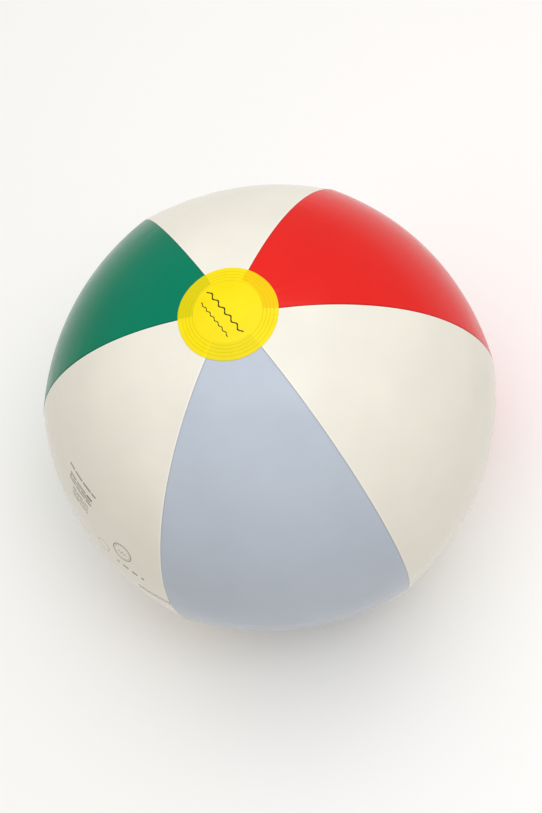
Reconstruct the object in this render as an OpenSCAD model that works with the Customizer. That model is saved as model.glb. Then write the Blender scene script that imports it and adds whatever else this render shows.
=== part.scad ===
// Inflatable beach ball: six welded vinyl gores, an end cap over each pole,
// and a push-in inflation valve in the middle of one gore.
// The poles lie on Z, and the valve faces +Y.

/* [Ball] */
// Distance from the centre of the ball to a seam, at the equator
seam_r = 175; // [160:1:220]
// How far a seam stands proud of the middle of a gore
seam_rise = 3.4; // [2:0.1:4]
// Thickness of the vinyl film
film_t = 0.3; // [0.25:0.05:0.5]
// Depth of the welded hem that each gore turns inwards along its edges
hem_depth = 4; // [3:0.5:6]
// Radius of the hole that the tips of the gores leave round each pole
tip_hole_r = 24; // [20:1:28]

/* [End caps] */
// Radius of the disc that closes each pole
cap_r = 35; // [33:1:40]
// Thickness of the disc
cap_t = 0.4; // [0.35:0.05:0.6]
// Radius of the dome that the underside of the disc follows
cap_dome_r = 185; // [180:1:195]
// Number of welding grooves round the disc
groove_count = 4; // [2:1:5]
// Distance from one welding groove to the next
groove_pitch = 1.9; // [1.5:0.1:2]
// Distance from the edge of the disc to the outermost groove
groove_margin = 2.7; // [2:0.1:3]
// Radius of the bead that presses each groove
groove_bead_r = 0.12; // [0.05:0.01:0.2]

/* [Valve] */
// Radius of the hole in the film over the valve
film_hole_r = 12; // [11.5:0.5:14]
// Outer radius of the flange welded behind the film
flange_r = 17; // [16:0.5:20]
// Thickness of the flange
flange_t = 0.8; // [0.6:0.1:1.2]
// Radius at which the soft skirt leaves the flange
skirt_r = 10.5; // [10:0.1:11]
// Thickness of the skirt
skirt_t = 0.5; // [0.4:0.1:0.7]
// Outer radius of the stem
stem_r = 5; // [4.8:0.1:5.2]
// Radius of the bore through the stem
bore_r = 3.5; // [3:0.1:3.8]
// Distance from the mouth of the stem to its inner end
stem_l = 10.6; // [10:0.1:12]
// How far below the surface of the ball the mouth lies, pushed in
mouth_depth = 2.4; // [2.2:0.1:2.5]
// Radius of the lip round the mouth
lip_r = 5.8; // [5.5:0.1:6]
// Thickness of the check flap at the inner end of the stem
flap_t = 0.5; // [0.4:0.05:0.55]

/* [Plug] */
// Radius of the head of the plug
head_r = 6.2; // [6:0.1:6.3]
// Thickness of the head of the plug
head_t = 1.7; // [1.4:0.1:1.9]
// Length of the shank of the plug
shank_l = 6.5; // [5:0.1:7.5]
// Width of the strap that keeps the plug on the stem
strap_w = 1.3; // [1:0.1:1.4]
// Thickness of the strap
strap_t = 0.8; // [0.6:0.1:0.9]
// How far round the stem the strap reaches
strap_sweep = 150; // [120:5:160]

/* [Hidden] */

$fn = 96;
eps = 1;                                // overshoot of a cutting tool
gore_angle = 60;                        // six gores go round the ball
half = gore_angle / 2;
belly_r = seam_r - seam_rise;           // centre of the ball to the middle of a gore
// A gore is rounder side to side than the ball is: its curve turns about an axis
// this far behind the poles, which makes it meet its neighbours seam_r out.
axis_back = (seam_r ^ 2 - belly_r ^ 2) / (2 * (belly_r - seam_r * cos(half)));
// Half of the turn about that axis that a gore needs, with a little to trim off
half_turn = atan2(seam_r * sin(half), seam_r * cos(half) + axis_back) + eps;

run_gap = 0.06;                         // radial gap between shank and bore
part_gap = 0.05;                        // gap between other parts that nearly touch
skirt_top = 0.75;                       // depth at which the skirt leaves the flange
skirt_land = 0.6;                       // height of its root on the flange
neck_depth = 8.1;                       // depth at which the skirt meets the stem
neck_land = 0.8;                        // height of its root on the stem
lip_t = 0.9;                            // height of the lip round the mouth
foot_depth = mouth_depth + stem_l;      // depth of the inner end of the stem
flap_r = stem_r - 0.4;
hinge_x = 4.2;                          // axis of the flap's hinge to the stem's axis
hinge_r = 0.3;                          // radius of the bead along that hinge
hinge_l = 3;                            // length of the bead
head_round = 0.5;                       // rounding of the head's top edge
shank_taper = 0.25;                     // how much slimmer the shank's end is
core_r = 1.8;                           // blind moulding core up the shank
core_l = 4.5;
strap_r = head_r + 0.5;                 // inner radius of the strap
tab_angle = 24;                         // arc taken by the tab at each strap end
tab_inset = 0.1;                        // step between a tab's face and the strap's

// Section of a curved wall, the half of a ring on the +X side of the pole axis
module wall_section(outer, inner) {
  intersection() {
    difference() {
      circle(outer, $fn = 240);
      circle(inner, $fn = 240);
    }
    translate([0, -outer - eps])
      square([outer + eps, 2 * outer + 2 * eps]);
  }
}

// Wall that is turned about the axis behind the poles, centred on +X
module gore_wall(outer, inner) {
  translate([-axis_back, 0, 0])
    rotate_extrude(angle = 2 * half_turn, start = -half_turn, $fn = 240)
      translate([axis_back, 0])
        wall_section(outer, inner);
}

// Triangular prism between the two seam planes of one gore
module wedge() {
  reach = 1.3 * seam_r;
  linear_extrude(2.2 * seam_r, center = true)
    polygon([[0, 0], reach * [cos(half), -sin(half)], reach * [cos(half), sin(half)]]);
}

// One gore: the film, and a hem along each edge that is turned in and welded
module gore() {
  difference() {
    intersection() {
      wedge();
      union() {
        gore_wall(belly_r, belly_r - film_t);
        difference() {
          gore_wall(belly_r, belly_r - hem_depth);
          translate([film_t / sin(half), 0, 0])
            wedge();
        }
      }
    }
    cylinder(r = tip_hole_r, h = 2.2 * seam_r, center = true);
  }
}

// Disc over one pole, welded to the outside of the tips of the gores
module end_cap() {
  drop = cap_dome_r - belly_r;
  difference() {
    intersection() {
      translate([0, 0, -drop])
        rotate_extrude($fn = 240)
          wall_section(cap_dome_r + cap_t, cap_dome_r);
      cylinder(r = cap_r, h = seam_r + cap_t);
    }
    for (i = [0 : groove_count - 1])
      weld_groove(cap_r - groove_margin - i * groove_pitch, drop);
  }
}

// Fine groove that the ribbed welding electrode presses round a disc
module weld_groove(ring_r, drop) {
  top = sqrt((cap_dome_r + cap_t) ^ 2 - ring_r ^ 2) - drop;
  rotate_extrude($fn = 96)
    translate([ring_r, top])
      circle(groove_bead_r, $fn = 16);
}

// Puts valve pieces in place: their +Z points out of the ball, and their
// origin is the middle of the gore's outer face
module at_valve() {
  translate([0, belly_r, 0])
    rotate([-90, 0, 0])
      children();
}

// Sector of a flat ring, from angle 0 to sweep
module ring_sector(inner, outer, thickness, sweep) {
  rotate_extrude(angle = sweep)
    translate([inner, 0])
      square([outer - inner, thickness]);
}

module panel_grey_blue() {
  color("#B3B9C6")
    rotate(-90)
      gore();
}

module panel_cream_right() {
  color("#E8E3D6")
    rotate(-30)
      gore();
}

module panel_red() {
  color("#E83A35")
    rotate(30)
      gore();
}

module panel_cream_valve() {
  color("#E8E3D6")
    difference() {
      rotate(90)
        gore();
      at_valve()
        cylinder(r = film_hole_r, h = 20, center = true);
    }
}

module panel_green() {
  color("#1E8262")
    rotate(150)
      gore();
}

module panel_cream_left() {
  color("#E8E3D6")
    rotate(-150)
      gore();
}

module top_end_cap() {
  color("#FCE626")
    end_cap();
}

module bottom_end_cap() {
  color("#FCE626")
    rotate([180, 0, 0])
      end_cap();
}

// Thin ring on the inside of the film, curved as the film is
module valve_flange() {
  color("#EDEFF0")
    difference() {
      intersection() {
        rotate(90)
          gore_wall(belly_r - film_t, belly_r - film_t - flange_t);
        at_valve()
          cylinder(r = flange_r, h = 20, center = true);
      }
      at_valve()
        cylinder(r = skirt_r, h = 22, center = true);
    }
}

// Soft cone between flange and stem, which turns inside out as the stem moves
module valve_skirt() {
  neck_r = stem_r + part_gap;
  color("#E2E6E8")
    at_valve()
      rotate_extrude()
        polygon([
          [skirt_r, -skirt_top],
          [skirt_r, -skirt_top - skirt_land],
          [neck_r + skirt_t / 2, -neck_depth - neck_land],
          [neck_r, -neck_depth - neck_land],
          [neck_r, -neck_depth],
          [skirt_r - skirt_t, -skirt_top]
        ]);
}

// Short tube that is blown into, with a lip round its mouth
module valve_stem() {
  color("#EDEFF0")
    at_valve()
      difference() {
        union() {
          translate([0, 0, -foot_depth])
            cylinder(r = stem_r, h = stem_l);
          translate([0, 0, -mouth_depth - lip_t])
            cylinder(r = lip_r, h = lip_t);
        }
        translate([0, 0, -foot_depth - eps])
          cylinder(r = bore_r, h = stem_l + 2 * eps);
      }
}

// Disc that closes the inner end of the stem, hinged on a bead along one side
module check_flap() {
  color("#DCE3E6")
    at_valve()
      translate([0, 0, -foot_depth - part_gap - hinge_r]) {
        intersection() {
          cylinder(r = flap_r, h = flap_t, center = true);
          translate([-hinge_x, -flap_r, -flap_t])
            cube([2 * flap_r, 2 * flap_r, 2 * flap_t]);
        }
        translate([-hinge_x, 0, 0])
          rotate([90, 0, 0])
            cylinder(r = hinge_r, h = hinge_l, center = true);
      }
}

// Head and tapered shank that stop the mouth of the stem
module plug() {
  seat = -mouth_depth + part_gap;
  shank_r = bore_r - run_gap;
  color("#F2F3F3")
    at_valve()
      difference() {
        union() {
          translate([0, 0, seat])
            rotate_extrude()
              polygon([
                [0, 0], [head_r, 0], [head_r, head_t - head_round],
                [head_r - head_round, head_t], [0, head_t]
              ]);
          translate([0, 0, seat - shank_l])
            cylinder(r1 = shank_r - shank_taper, r2 = shank_r, h = shank_l);
        }
        translate([0, 0, seat - shank_l - eps])
          cylinder(r = core_r, h = core_l + eps);
      }
}

// Strap from the head of the plug, round the neck and back to the lip
module plug_strap() {
  low = -mouth_depth - strap_t;
  root = strap_r + strap_w / 2;
  color("#EDEFF0")
    at_valve()
      union() {
        translate([0, 0, low])
          ring_sector(strap_r, strap_r + strap_w, strap_t, strap_sweep);
        // tab on the head
        translate([0, 0, low + tab_inset])
          rotate(1)
            ring_sector(head_r, root, 2 * strap_t, tab_angle);
        // tab on the lip
        translate([0, 0, low + tab_inset])
          rotate(strap_sweep - tab_angle - 1)
            ring_sector(lip_r + part_gap, root, strap_t - 2 * tab_inset, tab_angle);
      }
}

panel_grey_blue();
panel_cream_right();
panel_red();
panel_cream_valve();
panel_green();
panel_cream_left();
top_end_cap();
bottom_end_cap();
valve_flange();
valve_skirt();
valve_stem();
check_flap();
plug();
plug_strap();
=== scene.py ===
"""Inflatable beach ball: six welded vinyl gores, two end caps and a push-in valve, in metres."""
import math

import bpy
import numpy as np
from mathutils import Matrix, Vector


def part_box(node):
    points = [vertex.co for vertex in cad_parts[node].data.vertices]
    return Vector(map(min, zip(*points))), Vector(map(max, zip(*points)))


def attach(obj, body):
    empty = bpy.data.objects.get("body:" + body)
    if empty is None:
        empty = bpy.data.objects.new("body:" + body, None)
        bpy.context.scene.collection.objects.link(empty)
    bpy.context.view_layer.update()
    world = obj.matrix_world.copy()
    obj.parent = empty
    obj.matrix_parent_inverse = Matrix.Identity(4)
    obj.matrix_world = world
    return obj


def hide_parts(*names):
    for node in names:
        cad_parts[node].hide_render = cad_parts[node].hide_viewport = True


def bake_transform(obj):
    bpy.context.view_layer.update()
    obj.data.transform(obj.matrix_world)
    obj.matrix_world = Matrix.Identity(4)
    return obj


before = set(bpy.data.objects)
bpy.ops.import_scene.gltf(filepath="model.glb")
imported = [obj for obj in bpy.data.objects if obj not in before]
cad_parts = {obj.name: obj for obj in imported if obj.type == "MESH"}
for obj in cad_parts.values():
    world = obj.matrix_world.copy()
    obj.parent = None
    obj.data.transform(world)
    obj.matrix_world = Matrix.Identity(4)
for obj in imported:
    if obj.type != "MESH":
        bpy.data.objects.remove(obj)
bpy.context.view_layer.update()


# ---------------------------------------------------------------------------
# Studio. The ball lies on a sheet of matt white board in a bright white room,
# under a large soft lamp overhead and a smaller one to the front and right. The
# camera looks down on the top cap.
# ---------------------------------------------------------------------------
def linear(hex_colour):
    """sRGB hex to opaque linear colour: the sRGB curve is undone channel by channel."""
    srgb = np.array([int(hex_colour[i:i + 2], 16) for i in (1, 3, 5)]) / 255
    rgb = np.where(srgb <= 0.04045, srgb / 12.92, ((srgb + 0.055) / 1.055) ** 2.4)
    return (*(float(c) for c in rgb), 1.0)


def add_node(tree, kind, inputs=(), **settings):
    """Adds one node with its settings; an input is a value, or an output to link from."""
    made = tree.nodes.new(kind)
    for name, value in settings.items():
        setattr(made, name, value)
    for name, value in dict(inputs).items():
        if isinstance(value, bpy.types.NodeSocket):
            tree.links.new(value, made.inputs[name])
        else:
            made.inputs[name].default_value = value
    return made


# A colour Mix node has sockets of the same name for every type: these are its own.
MIX_FACTOR, MIX_A, MIX_B, MIX_RESULT = 0, 6, 7, 2


def new_material(name):
    """An empty node material: its tree, and the shader that its output is linked to."""
    material = bpy.data.materials.new(name)
    material.use_nodes = True
    tree = material.node_tree
    tree.nodes.clear()
    shader = add_node(tree, "ShaderNodeBsdfPrincipled")
    output = add_node(tree, "ShaderNodeOutputMaterial")
    tree.links.new(shader.outputs["BSDF"], output.inputs["Surface"])
    return material, tree, shader


def new_piece(name, points, faces, material):
    """A smooth-shaded mesh object from an array of points and lists of corner numbers."""
    mesh = bpy.data.meshes.new(name)
    mesh.from_pydata(np.asarray(points).tolist(), [], [list(f) for f in faces])
    mesh.polygons.foreach_set("use_smooth", np.ones(len(mesh.polygons), bool))
    mesh.materials.append(material)
    mesh.update()
    piece = bpy.data.objects.new(name, mesh)
    bpy.context.scene.collection.objects.link(piece)
    return piece


# The board: heavy white paper, dead matt, with the faintest tooth.
floor_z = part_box("bottom_end_cap")[0].z
board_half = 30.0
board_paper, tree, shader = new_material("matt white board")
shader.inputs["Base Color"].default_value = linear("#FAFAFA")
shader.inputs["Roughness"].default_value = 0.95
shader.inputs["Specular IOR Level"].default_value = 0.1
tooth = add_node(tree, "ShaderNodeTexNoise", {"Scale": 900.0, "Detail": 3.0})
relief = add_node(tree, "ShaderNodeBump",
                  {"Height": tooth.outputs["Fac"], "Distance": 0.00005, "Strength": 0.3})
tree.links.new(relief.outputs["Normal"], shader.inputs["Normal"])
corners = board_half * np.array([[-1, -1, 0], [1, -1, 0], [1, 1, 0], [-1, 1, 0]])
board = new_piece("floor_board", corners + [0, 0, floor_z], [(0, 1, 2, 3)], board_paper)

room = bpy.data.worlds.new("white room")
room.use_nodes = True
room.node_tree.nodes["Background"].inputs["Color"].default_value = linear("#FFF8EE")
room.node_tree.nodes["Background"].inputs["Strength"].default_value = 0.56
bpy.context.scene.world = room
bpy.context.scene.view_settings.view_transform = "Standard"


def soft_lamp(name, towards, distance, size, watts, colour):
    """A square area lamp that faces the ball from the direction given."""
    lamp = bpy.data.lights.new(name, "AREA")
    lamp.color = linear(colour)[:3]
    lamp.size = size
    lamp.energy = watts
    away = np.array(towards) / np.linalg.norm(towards)
    side = np.cross([0.0, 1.0, 0.0], away)
    side /= np.linalg.norm(side)
    placed = bpy.data.objects.new(name, lamp)
    placed.matrix_world = Matrix.LocRotScale(
        away * distance,
        Matrix(np.column_stack([side, np.cross(away, side), away]).tolist()),
        None)
    bpy.context.scene.collection.objects.link(placed)


soft_lamp("overhead_soft_lamp", (0.13, 0.08, 0.98), 2.0, 2.0, 26.0, "#F6FAFF")
soft_lamp("front_soft_lamp", (0.30, -0.28, 0.91), 2.0, 0.7, 5.0, "#F6FAFF")

# The camera stands well back with a short telephoto lens.
view_azimuth = math.radians(16.6)
view_elevation = math.radians(64.88)
view_roll = math.radians(24.08)
camera_distance = 1.178
aim_lift = 0.00105       # the ball sits this much below the middle of the frame
away = np.array([math.sin(view_azimuth) * math.cos(view_elevation),
                 -math.cos(view_azimuth) * math.cos(view_elevation),
                 math.sin(view_elevation)])
level = np.array([math.cos(view_azimuth), math.sin(view_azimuth), 0.0])
upright = np.cross(away, level)
right = level * math.cos(view_roll) - upright * math.sin(view_roll)
up = level * math.sin(view_roll) + upright * math.cos(view_roll)
lens = bpy.data.cameras.new("camera")
lens.lens = 67.0
lens.sensor_width = 36.0
lens.clip_start = 0.05
camera = bpy.data.objects.new("camera", lens)
camera.matrix_world = Matrix.LocRotScale(
    away * camera_distance + up * aim_lift,
    Matrix(np.column_stack([right, up, away]).tolist()),
    None)
bpy.context.scene.collection.objects.link(camera)
bpy.context.scene.camera = camera


# ---------------------------------------------------------------------------
# Six gores. Each is cut from calendered PVC film 0.3 mm thick, coloured
# through, and welded to its neighbours with the hem turned inside, so that the
# seam shows as a fine crease that stands a little proud.
# ---------------------------------------------------------------------------
gore_count = 6
half_gore = math.pi / gore_count
seam_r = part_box("panel_red")[1].x              # centre of the ball to a seam
belly_r = -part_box("panel_grey_blue")[0].y      # centre to the middle of a gore
film_t = 0.0003
hem_depth = 0.004
fold_r = 0.0006                                # the film rolls into the hem
tip_hole_r = 0.024                             # hole that the tips leave at a pole
edge_zone = 0.006                              # strip beside a seam, meshed finely
hem_gap = 0.00002                              # keeps two hems from sharing a face
painted_seam_light_w = 0.0006                              # the painted seam highlight and shade reach this far out
# A gore curves from side to side about an axis this far behind the poles.
axis_back = (seam_r ** 2 - belly_r ** 2) / (2 * (belly_r - seam_r * math.cos(half_gore)))

# How far each seam strays from its meridian, in millimetres towards rising
# azimuth, at these angles from the top pole: the gores are welded by hand.
stray_at = np.radians([10, 45, 90, 135, 170])
seam_stray_mm = {
    0: (-3.4, 0.8, 3.0, 1.5, 0.0),
    60: (0.2, 3.1, 3.8, 1.0, 0.0),
    120: (-3.4, -5.2, -5.0, -2.0, 0.5),
    180: (0.0, -3.0, -3.6, -1.5, 0.0),
    240: (0.3, -0.5, 0.6, 1.5, 1.0),
    300: (2.4, 3.0, 0.9, -1.0, -0.5),
}
# First seam of each gore, the CAD node it stands for, and its film.
gores = (
    (240, "panel_grey_blue", "grey_blue"), (300, "panel_cream_right", "cream"),
    (0, "panel_red", "red"), (60, "panel_cream_valve", "cream"),
    (120, "panel_green", "green"), (180, "panel_cream_left", "cream"))
film_colours = {"cream": "#E6E3D8", "red": "#DE2622", "green": "#007A5C",
                "grey_blue": "#B7C0CD"}


def seam_azimuth(seam, polar):
    """Azimuth of one seam at a polar angle: its meridian, turned by its stray there.
    The stray is the quartic through its five values."""
    quartic = np.polyfit(stray_at, seam_stray_mm[seam % 360], 4)
    polar = np.clip(polar, stray_at[0], stray_at[-1])
    return math.radians(seam) + np.polyval(quartic, polar) / 1000 / (belly_r * np.sin(polar))


def out_from_poles(polar, across):
    """Distance of a gore's face from the pole axis: to the side of its middle line
    it is that of a circle about the axis behind, of the radius that the line has."""
    turn = across * half_gore
    out = np.sqrt((belly_r * np.sin(polar) + axis_back) ** 2 - (axis_back * np.sin(turn)) ** 2)
    return out - axis_back * np.cos(turn)


def middle_polar(out, across):
    """The other way round: the polar angle at which a gore's face is so far out."""
    turn = across * half_gore
    rho = np.sqrt((out + axis_back * np.cos(turn)) ** 2 + (axis_back * np.sin(turn)) ** 2)
    return np.arcsin((rho - axis_back) / belly_r)


pucker_lift, pucker_at = 0.00003, 0.006        # strongest this far from a seam
draw_lift, draw_reach = 0.00005, 0.016
slow_lift = 0.00012
cap_edge_at = 0.033                            # from a pole, along the film


def relief_of_film(first_seam, polar, from_seam, points):
    """How far blown-up film stands off its ideal face: puckers a few millimetres
    from the seam that die away inwards, short draws that spread from the edge of
    the end caps, and a broad slow unevenness. All are products and sums of sines,
    of the length along the gore, of the azimuth and of the place in space; each
    gore starts them at another phase."""
    along = belly_r * polar
    azimuth = np.arctan2(points[..., 1], points[..., 0])
    start = first_seam * 0.7
    pucker = (np.sin(along / 0.0031 + start) * np.sin(along / 0.0187 + 2 * start)
              + 0.6 * np.sin(along / 0.0019 + 3 * start))
    near = from_seam / pucker_at
    pucker = pucker_lift * pucker * near * np.exp(1 - near)
    off_cap = np.minimum(polar, np.pi - polar) * belly_r - cap_edge_at
    draw = np.sin(23 * azimuth + start) + 0.7 * np.sin(37 * azimuth + 1.3)
    draw = draw_lift * draw * np.exp(-np.abs(off_cap) / draw_reach)
    slow = (np.sin(points[..., 0] / 0.019 + 1.1) * np.sin(points[..., 2] / 0.023 + start)
            + np.sin(points[..., 1] / 0.021 + 2.3) * np.sin(points[..., 2] / 0.029))
    return pucker + draw + slow_lift * slow


def film_face(first_seam, polar, across, depth=0.0):
    """Outer face of the blown-up film; across runs from -1 to 1 between its seams.
    Its azimuth is a share of the way from one seam to the next, its height that of
    the belly circle, and it is lifted outwards by the relief less the depth.
    Also gives the distance from the nearer seam and half of the gore's width."""
    low = seam_azimuth(first_seam, polar)
    high = seam_azimuth(first_seam + 60, polar)
    azimuth = (low + high) / 2 + across * (high - low) / 2
    out = out_from_poles(polar, across)
    half_width = (high - low) / 2 * out
    from_seam = (1 - np.abs(across)) * half_width
    height = belly_r * np.cos(polar) + 0 * across
    points = np.stack([out * np.cos(azimuth), out * np.sin(azimuth), height], -1)
    lift = relief_of_film(first_seam, polar, from_seam, points) - depth
    outward = points / np.linalg.norm(points, axis=-1, keepdims=True)
    return points + outward * lift[..., None], from_seam, half_width


def grid_faces(table):
    """Four corners of every cell of a table of point numbers laid out row by row."""
    cells = [table[:-1, :-1], table[1:, :-1], table[1:, 1:], table[:-1, 1:]]
    return np.stack(cells, -1).reshape(-1, 4)


gore_rows = 340
belly_columns = 49
strip_columns = 7        # in the fine strip beside a seam
roll_columns = 6         # round the fold into the hem
hem_columns = 3
roll = np.linspace(0, math.pi / 2, roll_columns)
# Distance from the seam and depth below the face, column by column, from the
# fine strip over the fold and down the hem.
edge_from_seam = np.concatenate([
    np.linspace(edge_zone, fold_r, strip_columns)[:-1],
    fold_r * (1 - np.sin(roll)),
    np.zeros(hem_columns)])
edge_depth = np.concatenate([
    np.zeros(strip_columns - 1),
    fold_r * (1 - np.cos(roll)),
    np.linspace(fold_r, hem_depth, hem_columns + 1)[1:]])


def gore_grid(first_seam):
    """Polar angle, across and depth at each point of one gore's grid: rows from the
    top tip to the bottom one, columns from hem to hem. The columns near a seam
    keep their distance from it, and the others share out what is left."""
    side = len(edge_from_seam)
    middle = np.linspace(-1, 1, belly_columns + 2)[1:-1]
    nominal = np.concatenate([-np.ones(side), middle, np.ones(side)])[None, :]
    start = middle_polar(tip_hole_r, nominal)
    polar = start + np.linspace(0, 1, gore_rows)[:, None] * (np.pi - 2 * start)
    half_width = film_face(first_seam, polar, nominal)[2]
    across = nominal * (1 - edge_zone / half_width)
    across[:, :side] = (edge_from_seam[::-1] + hem_gap) / half_width[:, :side] - 1
    across[:, -side:] = 1 - (edge_from_seam + hem_gap) / half_width[:, -side:]
    depth = np.concatenate([edge_depth[::-1], np.zeros(belly_columns), edge_depth])
    return polar, across, depth[None, :] + 0 * polar


# The valve sits behind a round hole in the middle of its gore. A ring of points
# joins the hole to the grid, with the two ribs of the weld pressed into it.
valve_hole_r = 0.012
valve_weld_r = (0.0137, 0.0157)
weld_rib, weld_rib_half_w = 0.00012, 0.00035
cut_rows, cut_columns = 18, 7        # half the rows and columns that the ring replaces
ring_radii = np.concatenate([np.arange(0.0172, valve_hole_r, -0.0002), [valve_hole_r]])
ring_skirt = 9                       # rings between those and the grid


def on_valve_gore(x, z):
    """Polar angle and across of the film over x, z. The height gives the polar angle,
    and x = out * cos(azimuth) gives across in a few rounds, as out barely changes."""
    polar = np.arccos(z / belly_r)
    low, high = seam_azimuth(60, polar), seam_azimuth(120, polar)
    across = np.zeros_like(x)
    for _ in range(5):
        azimuth = np.arccos(x / out_from_poles(polar, across))
        across = (2 * azimuth - low - high) / (high - low)
    return polar, across


def with_valve_hole(polar, across, depth):
    """The grid as flat arrays and a list of faces, with a round hole cut in it."""
    rows, columns = polar.shape
    table = np.arange(rows * columns).reshape(rows, columns)
    top, left = rows // 2 - cut_rows, columns // 2 - cut_columns
    patch = (slice(top, top + 2 * cut_rows + 1), slice(left, left + 2 * cut_columns + 1))
    cells = np.ones((rows - 1, columns - 1), bool)
    cells[patch[0].start:patch[0].stop - 1, patch[1].start:patch[1].stop - 1] = False
    faces = grid_faces(table)[cells.ravel()]
    # The rim of the cut, in order round the valve
    inner = np.zeros(polar.shape, bool)
    inner[patch] = True
    loose = np.zeros(polar.shape, bool)
    loose[patch[0].start + 1:patch[0].stop - 1, patch[1].start + 1:patch[1].stop - 1] = True
    rim = table[inner & ~loose]
    place = film_face(60, polar.ravel()[rim], across.ravel()[rim])[0]
    turn = np.arctan2(place[:, 2], place[:, 0])
    order = np.argsort(turn)
    rim, turn, place = rim[order], turn[order], place[order]
    # Rings from the rim in to the hole
    far = np.hypot(place[:, 0], place[:, 2])
    share = np.linspace(1, 0, ring_skirt + 1)[1:-1, None]
    radii = np.vstack([ring_radii[0] + share * (far - ring_radii[0]),
                       ring_radii[:, None] + 0 * far])
    ring_polar, ring_across = on_valve_gore(radii * np.cos(turn), radii * np.sin(turn))
    rib = sum(np.exp(-((radii - r) / weld_rib_half_w) ** 2) for r in valve_weld_r)
    numbers = table.size + np.arange(radii.size).reshape(radii.shape)
    numbers = np.vstack([rim, numbers])
    faces = np.vstack([faces, grid_faces(np.hstack([numbers, numbers[:, :1]]))])
    # Points inside the cut go, and the rest are numbered again
    kept = np.concatenate([~loose.ravel(), np.ones(radii.size, bool)])
    faces = (np.cumsum(kept) - 1)[faces]
    return (np.concatenate([polar.ravel(), ring_polar.ravel()])[kept],
            np.concatenate([across.ravel(), ring_across.ravel()])[kept],
            np.concatenate([depth.ravel(), weld_rib * rib.ravel()])[kept], faces)


def film_material(name, colour, painted_seam_light):
    """Calendered PVC film, glossy but not mirror-like: the rolls leave a fine
    orange peel and the pigment clouds slightly. Along a seam the colour turns to a
    second one: paler on cream, as a painted highlight on the seam ridge, and deeper
    on the strong colours, as painted shade beside the seam. The eye gets soft
    highlights and a fine line at a seam."""
    material, tree, shader = new_material(name)
    place = add_node(tree, "ShaderNodeTexCoord").outputs["Object"]
    cloud_mm, haze_mm, peel_mm, sag_mm = 45.0, 16.0, 1.6, 9.0
    cloud = add_node(tree, "ShaderNodeTexNoise",
                     {"Vector": place, "Scale": 1000 / cloud_mm, "Detail": 3.0})
    shade = add_node(tree, "ShaderNodeMapRange",
                     {"Value": cloud.outputs["Fac"], "From Min": 0.3, "From Max": 0.7,
                      "To Min": 0.975, "To Max": 1.025})
    tinted = add_node(tree, "ShaderNodeVectorMath",
                      {0: linear(colour)[:3], "Scale": shade.outputs["Result"]},
                      operation="SCALE")
    painted_seam_light_node = add_node(tree, "ShaderNodeAttribute", attribute_name="painted_seam_light_weight")
    with_painted_seam_light = add_node(tree, "ShaderNodeMix",
                    {MIX_FACTOR: painted_seam_light_node.outputs["Fac"], MIX_A: tinted.outputs[0],
                     MIX_B: linear(painted_seam_light)},
                    data_type="RGBA")
    tree.links.new(with_painted_seam_light.outputs[MIX_RESULT], shader.inputs["Base Color"])
    haze = add_node(tree, "ShaderNodeTexNoise",
                    {"Vector": place, "Scale": 1000 / haze_mm, "Detail": 4.0})
    gloss = add_node(tree, "ShaderNodeMapRange",
                     {"Value": haze.outputs["Fac"], "From Min": 0.3, "From Max": 0.7,
                      "To Min": 0.17, "To Max": 0.25})
    tree.links.new(gloss.outputs["Result"], shader.inputs["Roughness"])
    peel = add_node(tree, "ShaderNodeTexNoise",
                    {"Vector": place, "Scale": 1000 / peel_mm, "Detail": 2.0})
    sag = add_node(tree, "ShaderNodeTexNoise",
                   {"Vector": place, "Scale": 1000 / sag_mm, "Detail": 1.0})
    fine = add_node(tree, "ShaderNodeBump",
                    {"Height": peel.outputs["Fac"], "Distance": 0.000006})
    both = add_node(tree, "ShaderNodeBump",
                    {"Height": sag.outputs["Fac"], "Distance": 0.00002,
                     "Normal": fine.outputs["Normal"]})
    tree.links.new(both.outputs["Normal"], shader.inputs["Normal"])
    shader.inputs["IOR"].default_value = 1.53
    shader.inputs["Specular IOR Level"].default_value = 0.1
    return material, tree, shader


def add_wall(piece, thickness):
    """Gives a sheet its thickness, inwards from the face that was modelled."""
    wall = piece.modifiers.new("film", "SOLIDIFY")
    wall.thickness = thickness
    wall.offset = -1


def ink_over(tree, shader, mask, ink):
    """Prints over a material: its base colour turns to ink where the mask is 1."""
    below = shader.inputs["Base Color"].links[0].from_socket
    printed = add_node(tree, "ShaderNodeMix",
                       {MIX_FACTOR: mask, MIX_A: below, MIX_B: linear(ink)}, data_type="RGBA")
    tree.links.new(printed.outputs[MIX_RESULT], shader.inputs["Base Color"])


# Painted seam light: along a seam the cream film is painted whiter, a painted highlight on the seam
# ridge; the strong colours are painted deeper, painted shade beside the seam.
painted_seam_light_colours = {"cream": "#F7F5ED", "red": "#B51E1C", "green": "#00664C",
                  "grey_blue": "#A2ABBA"}
gore_films = {film: film_material("calendered PVC film, " + film.replace("_", "-"),
                                  colour, painted_seam_light_colours[film])[0]
              for film, colour in film_colours.items()}

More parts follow.
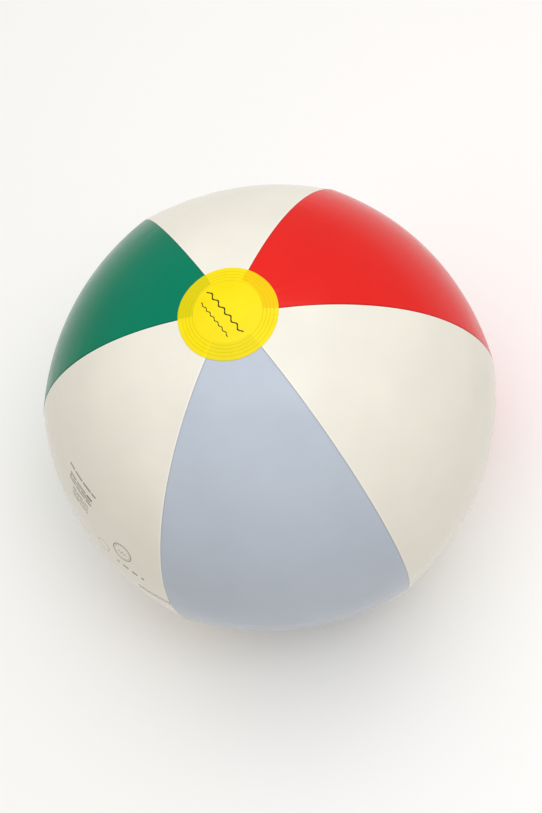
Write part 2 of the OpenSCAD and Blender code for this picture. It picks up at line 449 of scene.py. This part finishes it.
# The left cream gore carries the care print: a block of plain bars in place of
# lettering, two rings, a row of dashes and a row of short bars. Places are in
# metres on the flat film, across from its middle line and along from the top
# pole. Each block has the length of a bar, the height of a row, the gap round
# a bar, its middle and half of its size; each ring its middle, radius and stroke.
printed_film, tree, shader = film_material("calendered PVC film, cream, screen printed",
                                           film_colours["cream"], painted_seam_light_colours["cream"])
flat_place = add_node(tree, "ShaderNodeUVMap", uv_map="flat_film").outputs["UV"]
flat_axes = add_node(tree, "ShaderNodeSeparateXYZ", {"Vector": flat_place})
print_masks = []
for bar_w, row_h, gap, middle_at, half_size in (
        (0.0110, 0.0035, 0.00060, (-0.0010, 0.18025), (0.0177, 0.00175)),
        (0.0130, 0.0030, 0.00055, (-0.0010, 0.1905), (0.0150, 0.0045)),
        (0.0090, 0.0026, 0.00060, (0.0005, 0.2028), (0.0105, 0.0052)),
        (0.0030, 0.0030, 0.00070, (0.0507, 0.2130), (0.0045, 0.0015)),
        (0.0090, 0.0060, 0.00180, (0.0585, 0.2310), (0.0135, 0.0030)),
        (0.0055, 0.0030, 0.00045, (0.081, 0.2510), (0.0170, 0.0030))):
    bars = add_node(tree, "ShaderNodeTexBrick",
                    {"Vector": flat_place, "Scale": 1.0, "Brick Width": bar_w,
                     "Row Height": row_h, "Mortar Size": gap, "Mortar Smooth": 0.0,
                     "Color1": (1, 1, 1, 1), "Color2": (0.55, 0.55, 0.55, 1),
                     "Mortar": (0, 0, 0, 1)})
    wide = add_node(tree, "ShaderNodeMath", {0: flat_axes.outputs["X"], 1: middle_at[0],
                                             2: half_size[0]}, operation="COMPARE")
    tall = add_node(tree, "ShaderNodeMath", {0: flat_axes.outputs["Y"], 1: middle_at[1],
                                             2: half_size[1]}, operation="COMPARE")
    within = add_node(tree, "ShaderNodeMath", {0: wide.outputs[0], 1: tall.outputs[0]},
                      operation="MULTIPLY")
    print_masks.append(add_node(tree, "ShaderNodeMath",
                                {0: within.outputs[0], 1: bars.outputs["Color"]},
                                operation="MULTIPLY").outputs[0])
for middle_at, ring_r, stroke in (((0.0507, 0.2124), 0.0088, 0.0007),
                                  ((0.0507, 0.2124), 0.0074, 0.0003),
                                  ((0.0305, 0.2262), 0.0062, 0.0004)):
    reach = add_node(tree, "ShaderNodeVectorMath", {0: flat_place, 1: (*middle_at, 0.0)},
                     operation="DISTANCE")
    print_masks.append(add_node(tree, "ShaderNodeMath",
                                {0: reach.outputs["Value"], 1: ring_r, 2: stroke / 2},
                                operation="COMPARE").outputs[0])
care_print = print_masks[0]
for mask in print_masks[1:]:
    care_print = add_node(tree, "ShaderNodeMath", {0: care_print, 1: mask},
                          operation="MAXIMUM").outputs[0]
ink_cover = 0.9
ink_strength = add_node(tree, "ShaderNodeMath", {0: care_print, 1: ink_cover},
                        operation="MULTIPLY")
ink_over(tree, shader, ink_strength.outputs[0], "#3E382E")

for first_seam, node, film in gores:
    polar, across, depth = gore_grid(first_seam)
    if node == "panel_cream_valve":
        polar, across, depth, faces = with_valve_hole(polar, across, depth)
    else:
        faces = grid_faces(np.arange(polar.size).reshape(polar.shape))
        polar, across, depth = polar.ravel(), across.ravel(), depth.ravel()
    points, from_seam, half_width = film_face(first_seam, polar, across, depth)
    gore = new_piece("gore" + node.removeprefix("panel"), points, faces,
                     printed_film if node == "panel_cream_left" else gore_films[film])
    # The weight of the painted seam highlight and shade: a bell curve of the distance from the
    # seam.
    painted_seam_light = gore.data.attributes.new("painted_seam_light_weight", "FLOAT", "POINT")
    painted_seam_light.data.foreach_set("value", np.exp(-(from_seam / painted_seam_light_w) ** 2).astype(np.float32))
    flat_film = gore.data.uv_layers.new(name="flat_film")
    corner = np.zeros(len(gore.data.loops), np.int32)
    gore.data.loops.foreach_get("vertex_index", corner)
    flat = np.stack([across * half_width, belly_r * polar], -1)
    flat_film.data.foreach_set("uv", flat[corner].astype(np.float32).ravel())
    add_wall(gore, film_t)
    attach(gore, "ball")
    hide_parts(node)


# ---------------------------------------------------------------------------
# End caps. A disc of clear yellow PVC 0.4 mm thick is welded over each pole
# with a ribbed electrode, so it carries fine rings and takes on the bumps and
# the colours of the gore tips below it. The top one is printed.
# ---------------------------------------------------------------------------
cap_r = (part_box("top_end_cap")[1].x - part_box("top_end_cap")[0].x) / 2
cap_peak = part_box("top_end_cap")[1].z
cap_t = 0.0004
weld_gap = 0.00003                   # between the disc and the film
groove_margin = 0.0030               # edge of the disc to the outermost ring
groove_pitch = 0.0025
groove_count = 4
groove_depth = 0.00018
groove_half_w = 0.00028
groove_painted_shade = 0.65                   # painted shade: share of the colour below that is taken out in a ring
groove_radii = cap_r - groove_margin - groove_pitch * np.arange(groove_count)
cap_offset = (-0.0002, -0.0015)      # the disc is laid on by hand, a little off the pole
seam_dip, seam_dip_half_w = 0.00007, 0.0011
edge_wave = 0.0035                   # the cut edge wanders by this share of its radius
edge_drop, edge_drop_w = 0.00015, 0.0002
cap_spokes = 288
fine_from_r = 0.0222                 # the rings of points are close together from here
cap_radii = np.concatenate([np.arange(0.001, fine_from_r, 0.001),
                            np.arange(fine_from_r, cap_r, 0.00017), [cap_r]])


def film_under_cap(radius, azimuth, pole):
    """Height of the film at a radius and azimuth near a pole, how far it is from a
    seam, and the film's colour. Each gore is tried, and its polar angle found in a
    few rounds, because its seams drift as the angle changes."""
    height, from_seam = np.zeros(radius.shape), np.zeros(radius.shape)
    colour = np.zeros((*radius.shape, 4))
    for first_seam, _, film in gores:
        polar = np.arcsin(radius / belly_r)
        for _ in range(3):
            at = polar if pole > 0 else np.pi - polar
            low, high = seam_azimuth(first_seam, at), seam_azimuth(first_seam + 60, at)
            turned = (azimuth - low) % (2 * np.pi)
            across = 2 * turned / (high - low) - 1
            polar = middle_polar(radius, np.clip(across, -1, 1))
        points, gap, _ = film_face(first_seam, at, np.clip(across, -1, 1))
        mine = turned < high - low
        height = np.where(mine, points[..., 2] * pole, height)
        from_seam = np.where(mine, gap, from_seam)
        colour = np.where(mine[..., None], linear(film_colours[film]), colour)
    return height, from_seam, colour


def cap_points(pole):
    """Rings of points from the first one round the centre of a disc to its edge,
    then the centre itself, and the colour of the film below each, darkened in the
    rings as painted shade. Over the gore tips the disc lies on the film, dips a little
    at each seam, as a bell curve, and is pressed into rings of the same section;
    inside the tips it is a parabola up to its peak. Its edge waves as a sine of five
    turns and drops off exponentially."""
    turn = 2 * np.pi * np.arange(cap_spokes) / cap_spokes * pole
    ring_r, turn = np.meshgrid(np.concatenate([[0.0], cap_radii]), turn, indexing="ij")
    cut_r = ring_r * (1 + edge_wave * np.sin(5 * turn + 0.6) * (ring_r / cap_r) ** 6)
    x = cap_offset[0] + cut_r * np.cos(turn)
    y = cap_offset[1] + cut_r * np.sin(turn)
    radius, azimuth = np.hypot(x, y), np.arctan2(y, x)
    film, from_seam, colour = film_under_cap(np.maximum(radius, tip_hole_r), azimuth, pole)
    dip = seam_dip * np.exp(-(from_seam / seam_dip_half_w) ** 2)
    height = film + weld_gap + cap_t - dip
    inside = radius < tip_hole_r
    height = np.where(inside, cap_peak - (cap_peak - height) * (radius / tip_hole_r) ** 2, height)
    groove = sum(np.exp(-((ring_r - r) / groove_half_w) ** 2) for r in groove_radii)
    height = height - groove_depth * groove - edge_drop * np.exp((ring_r - cap_r) / edge_drop_w)
    colour[inside] = linear(film_colours["cream"])
    # Painted shade in the ring grooves: part of the colour below is taken out there.
    colour[..., :3] *= 1 - groove_painted_shade * groove[..., None]
    rings = np.stack([x, y, height * pole], -1)
    return (np.vstack([rings[1:].reshape(-1, 3), rings[0, :1]]),
            np.vstack([colour[1:].reshape(-1, 4), colour[0, :1]]))


def cap_material(name):
    """Clear yellow PVC film: a quarter of its colour is that of the film below it, and the
    eye gets a lemon disc with the gore tips showing duller at its edge."""
    material, tree, shader = new_material(name)
    place = add_node(tree, "ShaderNodeTexCoord").outputs["Object"]
    cloud_mm, peel_mm = 20.0, 1.4
    below = add_node(tree, "ShaderNodeAttribute", attribute_name="film_below")
    seen = add_node(tree, "ShaderNodeVectorMath",
                    {0: below.outputs["Color"], 1: (0.25, 0.20, 0.004), 2: (0.67, 0.545, 0.0)},
                    operation="MULTIPLY_ADD")
    cloud = add_node(tree, "ShaderNodeTexNoise",
                     {"Vector": place, "Scale": 1000 / cloud_mm, "Detail": 3.0})
    shade = add_node(tree, "ShaderNodeMapRange",
                     {"Value": cloud.outputs["Fac"], "From Min": 0.3, "From Max": 0.7,
                      "To Min": 0.96, "To Max": 1.02})
    tinted = add_node(tree, "ShaderNodeVectorMath",
                      {0: seen.outputs[0], "Scale": shade.outputs["Result"]},
                      operation="SCALE")
    tree.links.new(tinted.outputs[0], shader.inputs["Base Color"])
    haze = add_node(tree, "ShaderNodeMapRange",
                    {"Value": cloud.outputs["Fac"], "From Min": 0.3, "From Max": 0.7,
                     "To Min": 0.29, "To Max": 0.36})
    tree.links.new(haze.outputs["Result"], shader.inputs["Roughness"])
    peel = add_node(tree, "ShaderNodeTexNoise",
                    {"Vector": place, "Scale": 1000 / peel_mm, "Detail": 2.0})
    skin = add_node(tree, "ShaderNodeBump",
                    {"Height": peel.outputs["Fac"], "Distance": 0.00001})
    tree.links.new(skin.outputs["Normal"], shader.inputs["Normal"])
    shader.inputs["IOR"].default_value = 1.53
    shader.inputs["Specular IOR Level"].default_value = 0.12
    return material, tree, shader


# The print on the top disc is two plain wavy lines that run from its back left to
# its front right: each has its offset from the centre, amplitude, wavelength,
# half of its length and its stroke.
wave_lines = ((0.0019, 0.0010, 0.0075, 0.0205, 0.0011), (0.0108, 0.0005, 0.0048, 0.0165, 0.0007))
wave_direction = np.array([0.504, -0.864, 0.0])
wave_side = np.array([-0.864, -0.504, 0.0])
printed_cap, tree, shader = cap_material("clear yellow PVC film, screen printed")
place = add_node(tree, "ShaderNodeTexCoord").outputs["Object"]
along = add_node(tree, "ShaderNodeVectorMath", {0: place, 1: wave_direction},
                 operation="DOT_PRODUCT").outputs["Value"]
aside = add_node(tree, "ShaderNodeVectorMath", {0: place, 1: wave_side},
                 operation="DOT_PRODUCT").outputs["Value"]
for offset, amplitude, wavelength, half_length, stroke in wave_lines:
    phase = add_node(tree, "ShaderNodeMath", {0: along, 1: 2 * math.pi / wavelength},
                     operation="MULTIPLY")
    swing = add_node(tree, "ShaderNodeMath", {0: phase.outputs[0]}, operation="SINE")
    curve = add_node(tree, "ShaderNodeMath", {0: swing.outputs[0], 1: amplitude, 2: offset},
                     operation="MULTIPLY_ADD")
    on_line = add_node(tree, "ShaderNodeMath", {0: aside, 1: curve.outputs[0], 2: stroke / 2},
                       operation="COMPARE")
    in_length = add_node(tree, "ShaderNodeMath", {0: along, 1: 0.0, 2: half_length},
                         operation="COMPARE")
    drawn = add_node(tree, "ShaderNodeMath", {0: on_line.outputs[0], 1: in_length.outputs[0]},
                     operation="MULTIPLY")
    ink_over(tree, shader, drawn.outputs[0], "#2E220A")

cap_table = np.arange(len(cap_radii) * cap_spokes).reshape(len(cap_radii), cap_spokes)
cap_table = np.hstack([cap_table, cap_table[:, :1]])
cap_centre = len(cap_radii) * cap_spokes
cap_faces = grid_faces(cap_table).tolist()
cap_faces += [(cap_centre, a, b) for a, b in zip(cap_table[0, :-1], cap_table[0, 1:])]
for node, pole, film in (("top_end_cap", 1, printed_cap),
                         ("bottom_end_cap", -1, cap_material("clear yellow PVC film")[0])):
    points, colours = cap_points(pole)
    cap = new_piece(node + "_disc", points, cap_faces, film)
    below = cap.data.attributes.new("film_below", "FLOAT_COLOR", "POINT")
    below.data.foreach_set("color", colours.astype(np.float32).ravel())
    add_wall(cap, cap_t)
    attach(cap, "ball")
    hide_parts(node)


# ---------------------------------------------------------------------------
# Valve. Flange, skirt, stem, plug and strap are one soft PVC moulding, milky
# and a little waxy. The flange is welded behind the film, the thin skirt lets
# the stem be pulled out or pushed in, and the strap keeps the plug.
# ---------------------------------------------------------------------------
def valve_material(name, colour):
    """Soft plasticised PVC, injection moulded: milky, because light enters it before
    it comes back, with a satin skin and a faint cloudiness."""
    material, tree, shader = new_material(name)
    place = add_node(tree, "ShaderNodeTexCoord").outputs["Object"]
    cloud_mm, skin_mm = 4.0, 0.5
    cloud = add_node(tree, "ShaderNodeTexNoise",
                     {"Vector": place, "Scale": 1000 / cloud_mm, "Detail": 3.0})
    milk = add_node(tree, "ShaderNodeMix",
                    {MIX_FACTOR: cloud.outputs["Fac"], MIX_A: linear(colour),
                     MIX_B: tuple(0.86 * c for c in linear(colour))}, data_type="RGBA")
    tree.links.new(milk.outputs[MIX_RESULT], shader.inputs["Base Color"])
    satin = add_node(tree, "ShaderNodeMapRange",
                     {"Value": cloud.outputs["Fac"], "To Min": 0.3, "To Max": 0.42})
    tree.links.new(satin.outputs["Result"], shader.inputs["Roughness"])
    skin = add_node(tree, "ShaderNodeTexNoise",
                    {"Vector": place, "Scale": 1000 / skin_mm, "Detail": 2.0})
    bump = add_node(tree, "ShaderNodeBump",
                    {"Height": skin.outputs["Fac"], "Distance": 0.000008})
    tree.links.new(bump.outputs["Normal"], shader.inputs["Normal"])
    shader.inputs["IOR"].default_value = 1.53
    shader.inputs["Subsurface Weight"].default_value = 0.3
    shader.inputs["Subsurface Radius"].default_value = (1.0, 0.9, 0.8)
    shader.inputs["Subsurface Scale"].default_value = 0.0015
    return material


def eased(corners, ease, closed=True):
    """Rounds each corner of a profile with a parabola that leaves its two sides at
    the same distance from the corner; an open profile keeps its two ends."""
    corners = np.array(corners)
    back = np.roll(corners, 1, 0) - corners
    ahead = np.roll(corners, -1, 0) - corners
    back_length, ahead_length = np.linalg.norm(back, axis=1), np.linalg.norm(ahead, axis=1)
    cut = np.minimum(ease, 0.45 * np.minimum(back_length, ahead_length))
    start = corners + back * (cut / back_length)[:, None]
    end = corners + ahead * (cut / ahead_length)[:, None]
    t = np.linspace(0, 1, 6)[:, None]
    arcs = [(1 - t) ** 2 * a + 2 * t * (1 - t) * c + t ** 2 * b
            for a, c, b in zip(start, corners, end)]
    if not closed:
        arcs[0], arcs[-1] = corners[:1], corners[-1:]
    return np.vstack(arcs)


def place_at_valve(radius, turn, height):
    """Points at a radius and turn about the valve's axis, which is +Y, and at a height
    from the middle of the gore's face: x = r cos(turn), z = r sin(turn)."""
    place = np.broadcast_arrays(radius * np.cos(turn), belly_r + height, radius * np.sin(turn))
    return np.stack(place, -1)


valve_spokes = 96
valve_turn = 2 * np.pi * np.arange(valve_spokes) / valve_spokes


def turned_piece(name, profile, material, sag=0.0):
    """Turns a profile of radius and height round the valve's axis. One that starts
    and ends on the axis closes in a fan at each end, any other on itself. The sag
    is added to the heights, as one value for each radius and turn."""
    on_axis = profile[0, 0] == 0
    body = profile[1:-1] if on_axis else profile
    points = place_at_valve(body[:, :1] + 0 * valve_turn, valve_turn, body[:, 1:] + sag)
    points = points.reshape(-1, 3)
    table = np.arange(len(points)).reshape(len(body), valve_spokes)
    table = np.hstack([table, table[:, :1]])
    if on_axis:
        last = len(points)
        ends = place_at_valve(np.zeros(2), np.zeros(2), profile[[0, -1], 1])
        points = np.vstack([points, ends])
        faces = grid_faces(table).tolist()
        faces += [(last, a, b) for a, b in zip(table[0, :-1], table[0, 1:])]
        faces += [(a, last + 1, b) for a, b in zip(table[-1, :-1], table[-1, 1:])]
    else:
        faces = grid_faces(np.vstack([table, table[:1]]))
    return new_piece(name, points, faces, material)


valve_vinyl = valve_material("moulded soft PVC, milky", "#EEF0F0")
flap_vinyl = valve_material("moulded soft PVC, thin and grey", "#DCE3E6")

# Heights are below the middle of the gore's face, so they are negative.
stem_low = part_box("valve_stem")[0].y - belly_r
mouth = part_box("valve_stem")[1].y - belly_r
lip_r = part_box("valve_stem")[1].x
stem_r, bore_r, lip_t = 0.005, 0.0035, 0.0009
head_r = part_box("plug")[1].x
shank_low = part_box("plug")[0].y - belly_r
head_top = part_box("plug")[1].y - belly_r
seat = mouth + 0.00005
shank_r, shank_tip_r = 0.00344, 0.00319
core_r, core_top = 0.0018, shank_low + 0.0045
flange_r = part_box("valve_flange")[1].x
skirt_r, flange_t = 0.0105, 0.0008
skirt_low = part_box("valve_skirt")[0].y - belly_r
neck_r = stem_r - 0.0001            # the skirt runs a little way into the stem

# Flange: a thin ring that lies against the inside of the film.
flange_profile = eased([(skirt_r, -flange_t), (flange_r, -flange_t), (flange_r, 0.0),
                        (skirt_r, 0.0)], 0.0003)
across_x = flange_profile[:, :1] * np.cos(valve_turn)
across_z = flange_profile[:, :1] * np.sin(valve_turn)
film_y = film_face(60, *on_valve_gore(across_x, across_z))[0][..., 1]
flange = turned_piece("valve_flange_ring", flange_profile, valve_vinyl,
                      film_y - belly_r - film_t - weld_gap)
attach(flange, "ball")
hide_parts("valve_flange")

# Skirt: a soft cup from the flange down to the stem. Its middle line is a
# parabola, and its two faces lie half of its thickness to either side.
skirt_t = 0.00045
t = np.linspace(0, 1, 40)[:, None]
skirt_start, skirt_bend, skirt_end = np.array([
    (skirt_r - 0.00002, -0.00108), (0.0088, -0.0066), (neck_r + skirt_t / 2, skirt_low + 0.0003)])
skirt_line = ((1 - t) ** 2 * skirt_start + 2 * t * (1 - t) * skirt_bend + t ** 2 * skirt_end)
slope = np.gradient(skirt_line, axis=0)
slope /= np.linalg.norm(slope, axis=1, keepdims=True)
side = np.stack([-slope[:, 1], slope[:, 0]], -1) * skirt_t / 2
skirt = turned_piece("valve_skirt_cup", np.vstack([skirt_line - side, (skirt_line + side)[::-1]]),
                     valve_vinyl)
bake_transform(skirt)
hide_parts("valve_skirt")

# Stem: a short tube with a lip round its mouth and a rounded foot.
stem = turned_piece("valve_stem_tube", eased([
    (bore_r, stem_low), (stem_r, stem_low), (stem_r, mouth - lip_t), (lip_r, mouth - lip_t),
    (lip_r, mouth), (bore_r, mouth)], 0.0003), valve_vinyl)
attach(stem, "stem")
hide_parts("valve_stem")

# Plug: a dished head on a tapered shank, cored out from below.
dish_r, dish_depth = 0.0046, 0.0004
plug = turned_piece("plug_stopper", eased([
    (0.0, core_top), (core_r, core_top), (core_r, shank_low), (shank_tip_r, shank_low),
    (shank_r, seat), (head_r, seat), (head_r, head_top), (dish_r, head_top),
    (dish_r - 0.0006, head_top - dish_depth), (0.0, head_top - dish_depth)],
    0.0004, closed=False), valve_vinyl)
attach(plug, "plug")
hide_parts("plug")

# Strap: leaves the head, drops to the neck, runs round it and ends on the lip.
# Its section is carried along a turn about the valve's axis.
strap_turn = np.radians(np.linspace(-149, -1, 90))
strap_w, strap_t = 0.0013, 0.0008
strap_run_r, strap_run_height = 0.00735, mouth - strap_t / 2
strap_rise = 0.0009                  # from its run up to the middle of the head's rim
bend = 18                            # degrees over which the strap turns in at an end
leaves_head, meets_lip = -27, -125   # where each of the two bends starts
near_head = np.clip((np.degrees(strap_turn) - leaves_head) / bend, 0, 1)
near_head = near_head ** 2 * (3 - 2 * near_head)
near_lip = np.clip((meets_lip - np.degrees(strap_turn)) / bend, 0, 1)
near_lip = near_lip ** 2 * (3 - 2 * near_lip)
root = 0.6 * strap_w                 # its middle ends this deep in the head and the lip
strap_r = (strap_run_r - (strap_run_r - head_r + root) * near_head
           - (strap_run_r - lip_r + root) * near_lip)
strap_height = strap_run_height + strap_rise * near_head
strap_section = eased([(-strap_w / 2, -strap_t / 2), (strap_w / 2, -strap_t / 2),
                       (strap_w / 2, strap_t / 2), (-strap_w / 2, strap_t / 2)], 0.00022)
strap_points = place_at_valve(strap_r + strap_section[:, :1], strap_turn + 0 * strap_section[:, :1],
                              strap_height + strap_section[:, 1:])
strap_table = np.arange(strap_points[..., 0].size).reshape(strap_points.shape[:2])
strap_faces = grid_faces(np.vstack([strap_table, strap_table[:1]])).tolist()
strap_faces += [strap_table[::-1, 0].tolist(), strap_table[:, -1].tolist()]
strap = new_piece("plug_strap_band", strap_points.reshape(-1, 3), strap_faces, valve_vinyl)
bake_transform(strap)
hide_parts("plug_strap")

# Check flap: the thin moulded disc at the foot of the stem keeps its own shape.
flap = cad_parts["check_flap"]
flap.data.materials.clear()
flap.data.materials.append(flap_vinyl)
